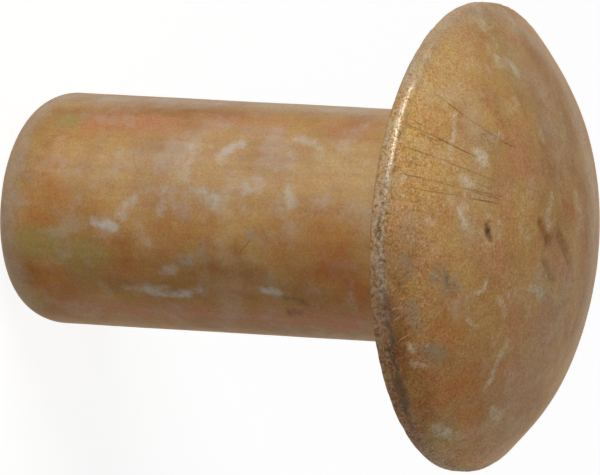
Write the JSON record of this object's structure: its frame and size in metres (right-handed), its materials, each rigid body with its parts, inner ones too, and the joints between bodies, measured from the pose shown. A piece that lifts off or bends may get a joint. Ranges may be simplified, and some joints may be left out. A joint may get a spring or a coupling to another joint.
{
  "type": "solid rivet",
  "caption": "Solid rivet with a plain round shank, a rounded tail end and a low domed head with a narrow land round its edge.",
  "frame": {"origin": "centre of the seat, the flat ring under the head", "axes": "+Z along the axis towards the head; the part is round about it, so X and Y are free. It stands on its flat tail end."},
  "size_m": [0.0128, 0.0128, 0.016],
  "materials": {
    "rivet": "satin golden-brown conversion film over aluminium alloy, scuffed and worn at the rim"
  },
  "bodies": {
    "root": {"rivet": "rivet"}
  },
  "joints": []
}
